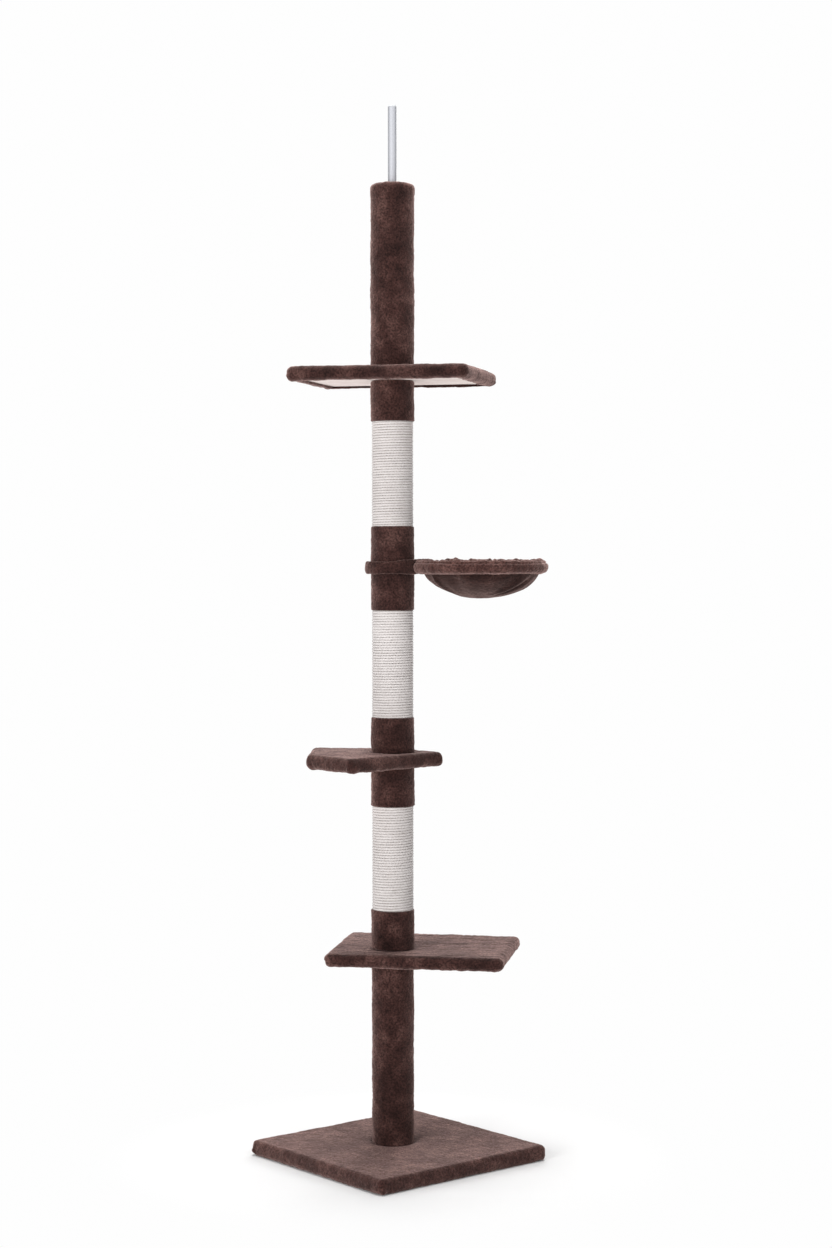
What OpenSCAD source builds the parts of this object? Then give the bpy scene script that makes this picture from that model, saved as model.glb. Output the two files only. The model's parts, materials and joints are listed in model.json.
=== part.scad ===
// Floor-to-ceiling cat tree: a flat base, five screwed posts, three shelves,
// a hammock that swivels on the post, and a sprung rod that presses on the ceiling.
// +Z is up and +X points to the hammock. The origin is on the floor, on the axis of the posts.

/* [Base] */
// Width and depth of the base, over the plush
base_size = [457, 442]; // [400:1:600]
// Thickness of the base, over the plush
base_t = 30; // [26:1:40]
// Depth to which the lowest post presses into the base's plush
base_dent = 3; // [0:0.5:4]
// Middle of the base, seen from its bolt hole
base_middle = [-4, -22]; // [-60:1:60]
// Turn of the base about the posts, in degrees
base_turn = 39.6; // [-90:0.2:90]

/* [Posts] */
// Outside diameter of a plush post
post_d = 92; // [84:1:110]
// Outside diameter of the sisal windings
sisal_d = 88.5; // [80:0.5:100]
// Outside diameter of the paper tubes
core_d = 76; // [66:1:78]
// Wall of the paper tubes
core_wall = 4; // [3:0.5:6]
// Length of each post, between the faces that it meets
post_l = 392.5; // [350:0.5:450]
// Length of the plush collar under the sisal, on posts 2, 3 and 4
low_collar_l = [84, 76, 87]; // [60:1:100]
// Length of the sisal winding, on posts 2, 3 and 4
sisal_l = [222, 228, 222.5]; // [180:0.5:240]
// Thickness of the wooden plug in each end of a tube
plug_t = 20; // [18:1:20]

/* [Shelves] */
// Thickness of a shelf, over the plush
shelf_t = 27; // [24:1:36]
// Width and depth of the lower shelf
lower_shelf_size = [374.5, 305]; // [250:1:450]
// Middle of the lower shelf, seen from its stud hole
lower_shelf_middle = [59, 48]; // [-80:1:80]
// Turn of the lower shelf, in degrees
lower_shelf_turn = -9.8; // [-180:0.2:180]
// Width of the middle shelf, which is a square with two corners cut off
middle_shelf_w = 262; // [200:1:320]
// Length of the middle shelf's two uncut sides
middle_shelf_side = 141; // [100:1:200]
// Depth of the middle shelf's pointed end
middle_shelf_nose = 140; // [60:1:160]
// Middle of the middle shelf's straight front edge, seen from its stud hole
middle_shelf_front = [-61.5, -86]; // [-90:1:-50]
// Turn of the middle shelf, in degrees
middle_shelf_turn = 41.4; // [-180:0.2:180]
// Width and depth of the upper shelf
upper_shelf_size = [382, 313]; // [250:1:450]
// Middle of the upper shelf, seen from its stud hole
upper_shelf_middle = [-4, 24]; // [-80:1:80]
// Turn of the upper shelf, in degrees
upper_shelf_turn = -13.6; // [-180:0.2:180]
// Radius of the base's and the shelves' corners
corner_r = 10; // [8:1:20]
// Depth of the plush on the base, the shelves and the top post
pile = 6; // [4:0.5:7]
// Width of the plush that is turned under a shelf's edge
hem = 18; // [14:1:40]
// Thickness of the lining sheet inside the hem
lining_t = 1.7; // [1:0.1:1.8]

/* [Hammock] */
// Distance from the posts' axis to the middle of the hammock
hammock_x = 185; // [180:1:200]
// Radius of the wire rim, to the middle of the wire
rim_r = 132; // [128:1:136]
// Radius of the wire ring round the post, to the middle of the wire
ring_r = 51; // [50:1:52]
// Diameter of the wire
wire_d = 6; // [5:0.5:7]
// Height of the rim above the ring round the post
rim_rise = 2.5; // [0:0.5:4]
// Diameter of the gathered sleeve on the rim
rim_sleeve_d = 30; // [24:1:34]
// Outside radius and height of the sleeve round the post
ring_sleeve_size = [58, 24]; // [22:0.5:60]
// Radius and depth of the bowl's outside, from the middle of the rim's wire
bowl_size = [124, 66]; // [60:1:126]
// Thickness of the bowl's cloth
cloth_t = 5; // [3:0.5:7]

/* [Tension rod] */
// Outside diameter of the steel rod
rod_d = 18; // [16:0.5:25]
// Outside diameter of the rod's lower end, which stays inside the top post
rod_neck_d = 17; // [14:0.5:20]
// Wall of the steel rod
rod_wall = 1.5; // [1:0.25:2]
// Length of rod above the top post, at full spring
rod_out = 165; // [130:1:200]
// Diameter of the slider on the rod's lower end
slider_d = 66; // [60:1:67]
// Height of the slider on the rod's lower end
slider_h = 20; // [16:1:30]
// Wire diameter of the spring
spring_wire_d = 2.5; // [2:0.25:3]
// Mean diameter of the spring
spring_d = 30; // [28:1:40]
// Turns of the spring
spring_turns = 15; // [10:1:18]

/* [Fasteners] */
// Thread diameter of the studs and the base bolt
stud_d = 8; // [6:1:8]
// Length of the studs that hold the shelves
stud_l = 70; // [66:1:76]
// Length of the stud that joins posts 3 and 4
joint_stud_l = 45; // [40:1:50]

/* [Hidden] */
$fn = 96;

// Clearance between pieces that touch
gap = 0.3;
// Cuts run past a face by this much, so that none ends flush with it
past = 1;

// Plush under the base is pressed flat by the tree's weight
base_hem_t = 2;
// Depth of the recess that is left below a shelf's lining
recess = 4;
plate_t = 3;

// Heights of the faces between the posts, from the floor up
lower_shelf_z = base_t - base_dent + post_l;
middle_shelf_z = lower_shelf_z + shelf_t + post_l;
joint_z = middle_shelf_z + shelf_t + post_l;
upper_shelf_z = joint_z + plate_t + post_l;
top_post_z = upper_shelf_z + shelf_t;
top_z = top_post_z + post_l;
rod_top_z = top_z + rod_out;
shelf_zs = [lower_shelf_z, middle_shelf_z, upper_shelf_z];

// Lower and upper end of each post; those under a shelf reach up to its lining
post_zs = [
    [base_t - base_dent, lower_shelf_z + recess],
    [lower_shelf_z + shelf_t, middle_shelf_z + recess],
    [middle_shelf_z + shelf_t, joint_z],
    [joint_z + plate_t, upper_shelf_z + recess],
    [top_post_z, top_z - pile]
];
function bottom_of(i) = post_zs[i - 1][0] + gap;
function top_of(i) = post_zs[i - 1][1] - gap;
function low_collar_top(i) = post_zs[i - 1][0] + low_collar_l[i - 2];
function sisal_top(i) = low_collar_top(i) + sisal_l[i - 2];

stud_r = stud_d / 2;
stud_hole_r = stud_r + 0.5;
nut_barrel = [5.6, 10];
nut_flange = [11, 1.5];
bolt_head = [14, 2.5];
bolt_end = (stud_l - shelf_t) / 2;

// The rod's guide: a bush with a flange that rests on the top plug
guide_bore_r = rod_d / 2 + 0.1;
guide_r = rod_d / 2 + 3.5;
guide_flange = [guide_r + 3, 2];
top_plug_z = top_of(5) - guide_flange[1] - gap;
slider_z = top_plug_z - plug_t - gap - slider_h;
slider_floor = 3;
shoulder = 5;
end_cap_t = 3;
spigot_l = 12;
spring_z = bottom_of(5) + plug_t + gap;

ring_z = joint_z + plate_t / 2;
rim_z = ring_z + rim_rise;

plush = [0.27, 0.19, 0.18];
cream = [0.87, 0.84, 0.80];
chipboard = [0.76, 0.62, 0.44];
paper_brown = [0.66, 0.55, 0.42];
steel = [0.78, 0.79, 0.81];
plastic = [0.25, 0.25, 0.26];

// Corners of a rectangle with this size and middle, counter-clockwise
function rectangle(size, middle) = [
    for (s = [[-1, -1], [1, -1], [1, 1], [-1, 1]])
        middle + [s.x * size.x, s.y * size.y] / 2
];

// Corners of a square-ended shelf that runs to a point
function pointed(front, w, side, nose) = [
    front + [-w / 2, 0], front + [w / 2, 0], front + [w / 2, side],
    front + [0, side + nose], front + [-w / 2, side]
];

function unit(v) = v / norm(v);

// Corners of a convex outline after each side has moved inwards by d
function inset(corners, d) = let (n = len(corners)) [
    for (i = [0 : n - 1])
        let (
            a = unit(corners[i] - corners[(i + n - 1) % n]),
            b = unit(corners[(i + 1) % n] - corners[i])
        )
        corners[i] + d * [-a.y - b.y, a.x + b.x] / (1 + a * b)
];

base_outline = rectangle(base_size, base_middle);
lower_outline = rectangle(lower_shelf_size, lower_shelf_middle);
middle_outline = pointed(middle_shelf_front, middle_shelf_w, middle_shelf_side, middle_shelf_nose);
upper_outline = rectangle(upper_shelf_size, upper_shelf_middle);

// A convex outline with its corners rounded; each strip along a side overlaps the middle
module rounded(corners, r) {
    centres = inset(corners, r);
    polygon(centres);
    for (i = [0 : len(centres) - 1]) {
        side = centres[(i + 1) % len(centres)] - centres[i];
        translate(centres[i]) {
            circle(r);
            rotate(atan2(side.y, side.x)) translate([0, -r]) square([norm(side), 1.5 * r]);
        }
    }
}

// A flat slab from z to z + t
module slab(corners, r, z, t) {
    translate([0, 0, z]) linear_extrude(t) rounded(corners, r);
}

module tube(r_out, r_in, z0, z1) {
    translate([0, 0, z0]) difference() {
        cylinder(r = r_out, h = z1 - z0);
        translate([0, 0, -past]) cylinder(r = r_in, h = z1 - z0 + 2 * past);
    }
}

module rod(r, z0, z1) {
    translate([0, 0, z0]) cylinder(r = r, h = z1 - z0);
}

module ring(r, wire_r) {
    rotate_extrude() translate([r, 0]) circle(wire_r);
}

// Board of the base or a shelf, inside its plush, with the hole for its stud
module board(corners, t, hem_t) {
    color(chipboard) difference() {
        slab(inset(corners, pile + gap), corner_r - pile, hem_t + gap, t - pile - hem_t - 2 * gap);
        rod(stud_hole_r, 0, t);
    }
}

// Plush over the top and sides of a board, turned under its edge
module cover(corners, t, hem_t) {
    color(plush) difference() {
        slab(corners, corner_r, 0, t);
        slab(inset(corners, pile), corner_r - pile, hem_t, t - pile - hem_t);
        slab(inset(corners, hem), corner_r - pile, -past, hem_t + 2 * past);
        rod(stud_hole_r, t - pile - past, t + past);
    }
}

// Sheet that closes the underside of a board inside the hem
module lining(corners, z) {
    color(cream) slab(inset(corners, hem + gap), corner_r - pile, z, lining_t);
}

module shelf_lining(corners) {
    difference() {
        lining(corners, recess);
        color(cream) rod(stud_hole_r, 0, shelf_t);
    }
}

module at_base() { rotate(base_turn) children(); }
module at_lower_shelf() { translate([0, 0, lower_shelf_z]) rotate(lower_shelf_turn) children(); }
module at_middle_shelf() { translate([0, 0, middle_shelf_z]) rotate(middle_shelf_turn) children(); }
module at_upper_shelf() { translate([0, 0, upper_shelf_z]) rotate(upper_shelf_turn) children(); }
module at_rim() { translate([hammock_x, 0, rim_z]) children(); }

module base_board() {
    at_base() difference() {
        board(base_outline, base_t, base_hem_t);
        color(chipboard) rod(bolt_head[0] + gap, 0, base_hem_t + bolt_head[1] + 2 * gap);
    }
}

// The lowest post presses a round dent into the plush
module base_cover() {
    at_base() difference() {
        cover(base_outline, base_t, base_hem_t);
        color(plush) rod(post_d / 2 + gap, base_t - base_dent, base_t + past);
    }
}

module base_lining() { at_base() lining(base_outline, 0); }

// The head lies in the board's underside, under the lining
module base_bolt() {
    color(steel) union() {
        rod(bolt_head[0], base_hem_t + gap, base_hem_t + gap + bolt_head[1]);
        rod(stud_r, base_hem_t + gap, base_t - base_dent + bolt_end);
    }
}

module post_core(i) {
    color(paper_brown) tube(core_d / 2, core_d / 2 - core_wall, bottom_of(i), top_of(i));
}

module post_plug(z) {
    color(chipboard) tube(core_d / 2 - core_wall - gap, nut_barrel[0] + gap, z, z + plug_t);
}

module post_bottom_plug(i) { post_plug(bottom_of(i)); }
module post_top_plug(i) { post_plug(top_of(i) - plug_t); }

// The top post's upper plug holds the rod's guide instead of a nut
module post_5_top_plug() {
    color(chipboard)
        tube(core_d / 2 - core_wall - gap, guide_r + gap, top_plug_z - plug_t, top_plug_z);
}

module sleeve(d, z0, z1) { tube(d / 2, core_d / 2 + gap, z0, z1); }

module post_1_cover() { color(plush) sleeve(post_d, bottom_of(1), top_of(1)); }

// The top post's sleeve also covers its upper end, round the rod
module post_5_cover() {
    color(plush) difference() {
        rod(post_d / 2, bottom_of(5), top_z);
        rod(core_d / 2 + gap, bottom_of(5) - past, top_z - pile);
        rod(rod_d / 2 + 1, top_z - pile - past, top_z + past);
    }
}

module post_lower_collar(i) { color(plush) sleeve(post_d, bottom_of(i), low_collar_top(i) - gap); }
module post_sisal(i) { color(cream) sleeve(sisal_d, low_collar_top(i), sisal_top(i)); }
module post_upper_collar(i) { color(plush) sleeve(post_d, sisal_top(i) + gap, top_of(i)); }

// A threaded insert, with its flange on the plug's inner face and its barrel pointing down
module tee_nut() {
    difference() {
        union() {
            rod(nut_flange[0], 0, nut_flange[1]);
            rod(nut_barrel[0], -nut_barrel[1], nut_flange[1]);
        }
        rod(stud_r + gap, -nut_barrel[1] - past, nut_flange[1] + past);
    }
}

module tee_nuts() {
    color(steel) {
        for (i = [1 : 5]) translate([0, 0, bottom_of(i) + plug_t]) tee_nut();
        for (i = [1 : 4]) translate([0, 0, top_of(i) - plug_t]) mirror([0, 0, 1]) tee_nut();
    }
}

module shelf_studs() {
    color(steel) for (z = shelf_zs) rod(stud_r, z - bolt_end, z + shelf_t + bolt_end);
}

module joint_stud() {
    color(steel) rod(stud_r, ring_z - joint_stud_l / 2, ring_z + joint_stud_l / 2);
}

module lower_shelf_board() { at_lower_shelf() board(lower_outline, shelf_t, pile); }
module lower_shelf_cover() { at_lower_shelf() cover(lower_outline, shelf_t, pile); }
module lower_shelf_lining() { at_lower_shelf() shelf_lining(lower_outline); }
module middle_shelf_board() { at_middle_shelf() board(middle_outline, shelf_t, pile); }
module middle_shelf_cover() { at_middle_shelf() cover(middle_outline, shelf_t, pile); }
module middle_shelf_lining() { at_middle_shelf() shelf_lining(middle_outline); }
module upper_shelf_board() { at_upper_shelf() board(upper_outline, shelf_t, pile); }
module upper_shelf_cover() { at_upper_shelf() cover(upper_outline, shelf_t, pile); }
module upper_shelf_lining() { at_upper_shelf() shelf_lining(upper_outline); }

// One weldment: a plate clamped between posts 3 and 4, a ring round the post and the round rim
module hammock_frame() {
    color(steel) difference() {
        union() {
            rod(ring_r, joint_z + gap, joint_z + plate_t - gap);
            translate([0, 0, ring_z]) ring(ring_r, wire_d / 2);
            at_rim() ring(rim_r, wire_d / 2);
        }
        rod(stud_hole_r, joint_z - past, joint_z + plate_t + past);
    }
}

// Plush band round the post, slit on its inside for the plate
module hammock_ring_sleeve() {
    inner_r = post_d / 2 + 2 * gap;
    outer_r = ring_sleeve_size[0];
    h = ring_sleeve_size[1];
    edge_r = 5;
    color(plush) difference() {
        translate([0, 0, ring_z]) rotate_extrude() difference() {
            translate([inner_r, -h / 2]) union() {
                square([outer_r - edge_r - inner_r, h]);
                translate([0, edge_r]) square([outer_r - inner_r, h - 2 * edge_r]);
                for (y = [edge_r, h - edge_r]) translate([outer_r - edge_r - inner_r, y]) circle(edge_r);
            }
            translate([ring_r, 0]) circle(wire_d / 2 + gap);
            translate([inner_r - past, -plate_t / 2 - gap])
                square([ring_r - inner_r + past, plate_t + 2 * gap]);
        }
        at_rim() ring(rim_r, wire_d / 2 + gap);
    }
}

// Gathered plush round the rim's wire, open where the rim meets the ring round the post
module hammock_rim_sleeve() {
    color(plush) difference() {
        at_rim() rotate_extrude() translate([rim_r, 0]) difference() {
            circle(rim_sleeve_d / 2);
            circle(wire_d / 2 + gap);
        }
        rod(ring_sleeve_size[0] + gap, rim_z - rim_sleeve_d, rim_z + rim_sleeve_d);
    }
}

// Quarter of an ellipse, from the rim down to the axis
function sag(a, b, steps = 20) = [for (i = [0 : steps]) [a * cos(90 * i / steps), -b * sin(90 * i / steps)]];

// Cloth bowl that hangs from the inside of the rim's sleeve
module hammock_bowl() {
    color(plush) at_rim() difference() {
        rotate_extrude() polygon(concat(sag(bowl_size[0], bowl_size[1]), [[0, 0]]));
        translate([0, 0, gap])
            rotate_extrude() polygon(concat(sag(bowl_size[0] - cloth_t, bowl_size[1] - cloth_t), [[0, 0]]));
        ring(rim_r, rim_sleeve_d / 2 + gap);
    }
}

module rod_guide() {
    color(plastic) difference() {
        union() {
            rod(guide_flange[0], top_plug_z + gap / 2, top_plug_z + guide_flange[1]);
            rod(guide_r, top_plug_z - plug_t, top_plug_z + guide_flange[1]);
        }
        rod(guide_bore_r, top_plug_z - plug_t - past, top_z);
    }
}

// Centre of the spring wire at turn t
function coil(t) = [
    spring_d / 2 * cos(360 * t),
    spring_d / 2 * sin(360 * t),
    spring_z + spring_wire_d / 2 + t / spring_turns * (slider_z - gap - spring_z - spring_wire_d)
];

// Round wire swept along the coil
module tension_spring() {
    steps = 18;
    sides = 6;
    rings = spring_turns * steps;
    points = [
        for (i = [0 : rings], s = [0 : sides - 1])
            let (t = i / steps, a = 360 * t, b = 360 * s / sides, r = spring_wire_d / 2)
            coil(t) + r * [cos(b) * cos(a), cos(b) * sin(a), sin(b)]
    ];
    walls = [
        for (i = [0 : rings - 1], s = [0 : sides - 1])
            let (p = i * sides + s, q = i * sides + (s + 1) % sides)
            each [[p, p + sides, q + sides], [p, q + sides, q]]
    ];
    first = [for (s = [0 : sides - 1]) s];
    last = [for (s = [0 : sides - 1]) rings * sides + sides - 1 - s];
    color(steel) polyhedron(points, concat(walls, [first, last]));
}

// Thinner below a shoulder that stands just above the top post
module tension_rod() {
    z0 = slider_z + slider_floor + gap;
    color(steel) difference() {
        union() {
            rod(rod_neck_d / 2, z0, top_z + shoulder);
            rod(rod_d / 2, top_z + shoulder, rod_top_z - end_cap_t);
        }
        rod(rod_neck_d / 2 - rod_wall, z0 - past, rod_top_z);
    }
}

// Slides in the paper tube, carries the rod and rests on the spring
module rod_slider() {
    color(plastic) difference() {
        rod(slider_d / 2, slider_z, slider_z + slider_h);
        rod(rod_neck_d / 2 + gap, slider_z + slider_floor, slider_z + slider_h + past);
    }
}

module rod_end_cap() {
    color(cream) union() {
        rod(rod_d / 2, rod_top_z - end_cap_t + gap / 2, rod_top_z);
        rod(rod_neck_d / 2 - rod_wall - gap, rod_top_z - end_cap_t - spigot_l, rod_top_z);
    }
}

base_board();
base_cover();
base_lining();
base_bolt();
for (i = [1 : 5]) {
    post_core(i);
    post_bottom_plug(i);
}
for (i = [1 : 4]) post_top_plug(i);
post_5_top_plug();
post_1_cover();
post_5_cover();
for (i = [2 : 4]) {
    post_lower_collar(i);
    post_sisal(i);
    post_upper_collar(i);
}
tee_nuts();
shelf_studs();
joint_stud();
lower_shelf_board();
lower_shelf_cover();
lower_shelf_lining();
middle_shelf_board();
middle_shelf_cover();
middle_shelf_lining();
upper_shelf_board();
upper_shelf_cover();
upper_shelf_lining();
hammock_frame();
hammock_ring_sleeve();
hammock_rim_sleeve();
hammock_bowl();
rod_guide();
tension_spring();
tension_rod();
rod_slider();
rod_end_cap();
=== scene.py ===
import json
import math

import bmesh
import bpy
import numpy as np
from mathutils import Matrix, Vector
from mathutils.geometry import convex_hull_2d


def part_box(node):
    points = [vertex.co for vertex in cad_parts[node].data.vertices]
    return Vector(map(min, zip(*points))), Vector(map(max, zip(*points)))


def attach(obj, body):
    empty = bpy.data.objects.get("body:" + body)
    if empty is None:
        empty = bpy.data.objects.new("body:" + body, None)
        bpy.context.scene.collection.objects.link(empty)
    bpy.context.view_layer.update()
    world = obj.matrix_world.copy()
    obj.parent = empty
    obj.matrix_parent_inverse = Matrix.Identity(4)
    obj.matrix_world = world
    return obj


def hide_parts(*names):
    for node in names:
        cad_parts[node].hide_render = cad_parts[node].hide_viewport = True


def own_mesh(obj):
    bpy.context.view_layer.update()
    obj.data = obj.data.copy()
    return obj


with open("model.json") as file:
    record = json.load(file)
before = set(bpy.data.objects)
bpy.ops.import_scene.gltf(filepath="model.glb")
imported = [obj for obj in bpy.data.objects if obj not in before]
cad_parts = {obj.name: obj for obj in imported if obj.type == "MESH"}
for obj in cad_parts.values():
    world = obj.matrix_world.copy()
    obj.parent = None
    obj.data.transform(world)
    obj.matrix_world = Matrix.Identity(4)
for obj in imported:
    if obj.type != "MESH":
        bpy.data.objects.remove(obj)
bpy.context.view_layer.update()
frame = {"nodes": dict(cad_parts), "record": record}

# ---------------------------------------------------------------- sizes read from the frame, in metres


def size_of(node):
    lo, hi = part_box(node)
    return hi - lo


def z_range(node):
    lo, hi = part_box(node)
    return lo.z, hi.z


def radius_of(node):
    return size_of(node).x / 2


POST_R = radius_of("post_1_cover")
CORE_R = radius_of("post_1_core")
SISAL_R = radius_of("post_2_sisal")
ROD_R = radius_of("tension_rod")
RIM_LO, RIM_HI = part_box("hammock_rim_sleeve")
BOWL_LO, BOWL_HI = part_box("hammock_bowl")
RIM_MID = Vector(((BOWL_LO.x + BOWL_HI.x) / 2, 0, (RIM_LO.z + RIM_HI.z) / 2))
RIM_TUBE_R = (RIM_HI.z - RIM_LO.z) / 2
RIM_R = RIM_HI.x - RIM_MID.x - RIM_TUBE_R
BOWL_DEPTH = RIM_MID.z - BOWL_LO.z
BOWL_R = RIM_R - 0.36 * RIM_TUBE_R
RING_R = radius_of("hammock_ring_sleeve")

# gaps that keep the plush off the tubes and the rod, and the spacing of points on hidden walls
TUBE_GAP = 0.0004
ROD_GAP = 0.0006
HIDDEN_STEP = 0.03

# ---------------------------------------------------------------- mesh tools


def lattice_noise(points, cell, seed):
    """Smooth value noise from -1 to 1 on a lattice of that cell size, for n x 3 points."""
    q = np.asarray(points, float) / cell
    base = np.floor(q).astype(np.int64)
    f = q - base
    f = f * f * (3 - 2 * f)
    total = np.zeros(len(q))
    for dx in (0, 1):
        for dy in (0, 1):
            for dz in (0, 1):
                h = (base[:, 0] + dx) * 374761393 + (base[:, 1] + dy) * 668265263
                h = (h + (base[:, 2] + dz) * 2147483629 + seed * 1274126177) & 0xFFFFFFFF
                h = ((h ^ (h >> 13)) * 1274126177) & 0xFFFFFFFF
                value = ((h ^ (h >> 16)) & 0xFFFF) / 32767.5 - 1
                weight = np.abs(1 - dx - f[:, 0]) * np.abs(1 - dy - f[:, 1]) * np.abs(1 - dz - f[:, 2])
                total += value * weight
    return total


def grid_faces(rows, columns, close_rows):
    """Quads of a grid of points whose columns close on themselves, and whose rows may."""
    i = np.arange(rows if close_rows else rows - 1)[:, None]
    j = np.arange(columns)[None, :]
    nxt_i, nxt_j = (i + 1) % rows, (j + 1) % columns
    corners = [i * columns + j, i * columns + nxt_j, nxt_i * columns + nxt_j, nxt_i * columns + j]
    return np.stack(corners, -1).reshape(-1, 4)


def tube_faces(rings, sides):
    """Faces of a tube given ring by ring, closed at both ends."""
    faces = grid_faces(rings, sides, False)[:, ::-1].tolist()
    faces.append(list(range(sides)))
    faces.append(list(range(rings * sides - 1, (rings - 1) * sides - 1, -1)))
    return faces


def point_normals(points, quads):
    """Normals that point out of the shell, whichever way its quads run."""
    across = points[quads[:, 2]] - points[quads[:, 0]]
    along = points[quads[:, 3]] - points[quads[:, 1]]
    face = np.cross(across, along)
    middles = points[quads].mean(1) - points.mean(0)
    if (face * middles).sum() < 0:
        face = -face
    normals = np.zeros_like(points)
    for corner in range(4):
        np.add.at(normals, quads[:, corner], face)
    length = np.linalg.norm(normals, axis=1, keepdims=True)
    return normals / np.maximum(length, 1e-12)


# the size and the height of each of the pile's lumps
PLUSH_LUMPS = ((0.045, 0.0007), (0.012, 0.0005), (0.0046, 0.0005))
PILE_LIFT = 0.0002


def fluffed(points, quads, seed, mask=1.0, lift=PILE_LIFT):
    """Points lifted along their normals, by several sizes of noise, as plush stands uneven."""
    push = np.full(len(points), lift)
    for k, (cell, height) in enumerate(PLUSH_LUMPS):
        push += height * lattice_noise(points, cell, seed + k)
    return points + point_normals(points, quads) * (push * mask)[:, None]


def turn_outwards(mesh):
    """Reverses the faces of a closed mesh that is inside out."""
    shape = bmesh.new()
    shape.from_mesh(mesh)
    if shape.calc_volume(signed=True) < 0:
        bmesh.ops.reverse_faces(shape, faces=shape.faces)
        shape.to_mesh(mesh)
    shape.free()


def stand_in(node, ending, points, faces, body, material):
    """A smooth mesh named after the CAD node that it takes the place of, riding on a body."""
    name = node + ending
    mesh = bpy.data.meshes.new(name)
    mesh.from_pydata(points.tolist(), [], faces if isinstance(faces, list) else faces.tolist())
    mesh.update()
    turn_outwards(mesh)
    mesh.polygons.foreach_set("use_smooth", [True] * len(mesh.polygons))
    mesh.materials.append(material)
    piece = bpy.data.objects.new(name, mesh)
    bpy.context.scene.collection.objects.link(piece)
    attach(piece, body)
    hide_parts(node)
    return piece


def arc(centre, radius, start, end, steps):
    """Points of an arc, from start to end degrees, both ends included."""
    angles = np.radians(np.linspace(start, end, steps + 1))
    return [(centre[0] + radius * np.cos(a), centre[1] + radius * np.sin(a)) for a in angles]


def line(start, end, spacing):
    """Points from start to end at about that spacing, without the ends."""
    start, end = np.array(start, float), np.array(end, float)
    steps = max(2, int(round(np.linalg.norm(end - start) / spacing)))
    return [tuple(start + (end - start) * k / steps) for k in range(1, steps)]


def turned(profile, columns):
    """An (r, z) profile turned about the posts' axis: rows x columns x 3 points."""
    profile = np.array(profile)
    angles = np.linspace(0, 2 * np.pi, columns, endpoint=False)
    x = profile[:, 0, None] * np.cos(angles)
    y = profile[:, 0, None] * np.sin(angles)
    z = np.repeat(profile[:, 1, None], columns, axis=1)
    return np.stack([x, y, z], -1)


# ---------------------------------------------------------------- materials


def srgb(r, g, b):
    """Linear colour of an 8-bit screen colour."""
    def to_linear(v):
        v /= 255
        return v / 12.92 if v <= 0.04045 else ((v + 0.055) / 1.055) ** 2.4
    return (to_linear(r), to_linear(g), to_linear(b), 1)


class Nodes:
    """Builds one material's nodes with short calls."""

    def __init__(self, name):
        self.material = bpy.data.materials.new(name)
        self.material.use_nodes = True
        self.tree = self.material.node_tree
        self.shader = self.tree.nodes["Principled BSDF"]
        self.place = self.tree.nodes.new("ShaderNodeTexCoord").outputs["Object"]

    def add(self, kind, **values):
        """A node with these settings; an argument that names an input sets or links that input."""
        node = self.tree.nodes.new("ShaderNode" + kind)
        for key, value in values.items():
            if hasattr(node, key) and key not in node.inputs:
                setattr(node, key, value)
            else:
                self.feed(node.inputs[key], value)
        return node

    def feed(self, socket, value):
        """Links an output to the socket, or sets the socket to a plain value."""
        if isinstance(value, bpy.types.NodeSocket):
            self.tree.links.new(value, socket)
        else:
            socket.default_value = value

    def stretched(self, scale, turn=0.0):
        """The object's coordinates turned about Z and then stretched."""
        turned_place = self.add("Mapping", Vector=self.place, Rotation=(0, 0, turn)).outputs["Vector"]
        return self.add("Mapping", Vector=turned_place, Scale=scale).outputs["Vector"]

    def noise(self, scale, detail=3.0, roughness=0.5, vector=None, distortion=0.0):
        node = self.add("TexNoise", Vector=vector or self.place, Scale=scale, Detail=detail,
                        Roughness=roughness, Distortion=distortion)
        return node.outputs["Fac"]

    def ramp(self, factor, stops):
        node = self.add("ValToRGB", Fac=factor)
        ramp = node.color_ramp
        while len(ramp.elements) < len(stops):
            ramp.elements.new(0.5)
        for element, (position, colour) in zip(ramp.elements, stops):
            element.position = position
            element.color = colour
        return node.outputs["Color"]

    def mix(self, factor, a, b, how="MIX"):
        """Two colours mixed. The node's colour sockets share their names, so they go by number."""
        node = self.add("Mix", data_type="RGBA", blend_type=how)
        self.feed(node.inputs[0], factor)
        self.feed(node.inputs[6], a)
        self.feed(node.inputs[7], b)
        return node.outputs[2]

    def maths(self, how, a, b=0.0):
        node = self.add("Math", operation=how)
        self.feed(node.inputs[0], a)
        self.feed(node.inputs[1], b)
        return node.outputs[0]

    def between(self, value, low, high, to_low, to_high):
        """A value from `low` to `high` turned into one from `to_low` to `to_high`, held at the ends."""
        node = self.add("MapRange", Value=value)
        for name, number in zip(("From Min", "From Max", "To Min", "To Max"), (low, high, to_low, to_high)):
            self.feed(node.inputs[name], number)
        return node.outputs[0]

    def bump(self, height, strength, distance):
        return self.add("Bump", Height=height, Strength=strength, Distance=distance).outputs["Normal"]

    def finish(self, **sockets):
        """Feeds the shader's sockets, whose names have _ for each space, and gives the material."""
        for name, value in sockets.items():
            self.feed(self.shader.inputs[name.replace("_", " ")], value)
        return self.material


PLUSH_DARK, PLUSH_MID, PLUSH_LIGHT = srgb(28, 15, 14), srgb(58, 37, 34), srgb(93, 67, 62)
# the plush's sheen tint, used for the painted sheen in its colour and for the shader's own sheen
PLUSH_SHEEN = srgb(208, 174, 167)


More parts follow.
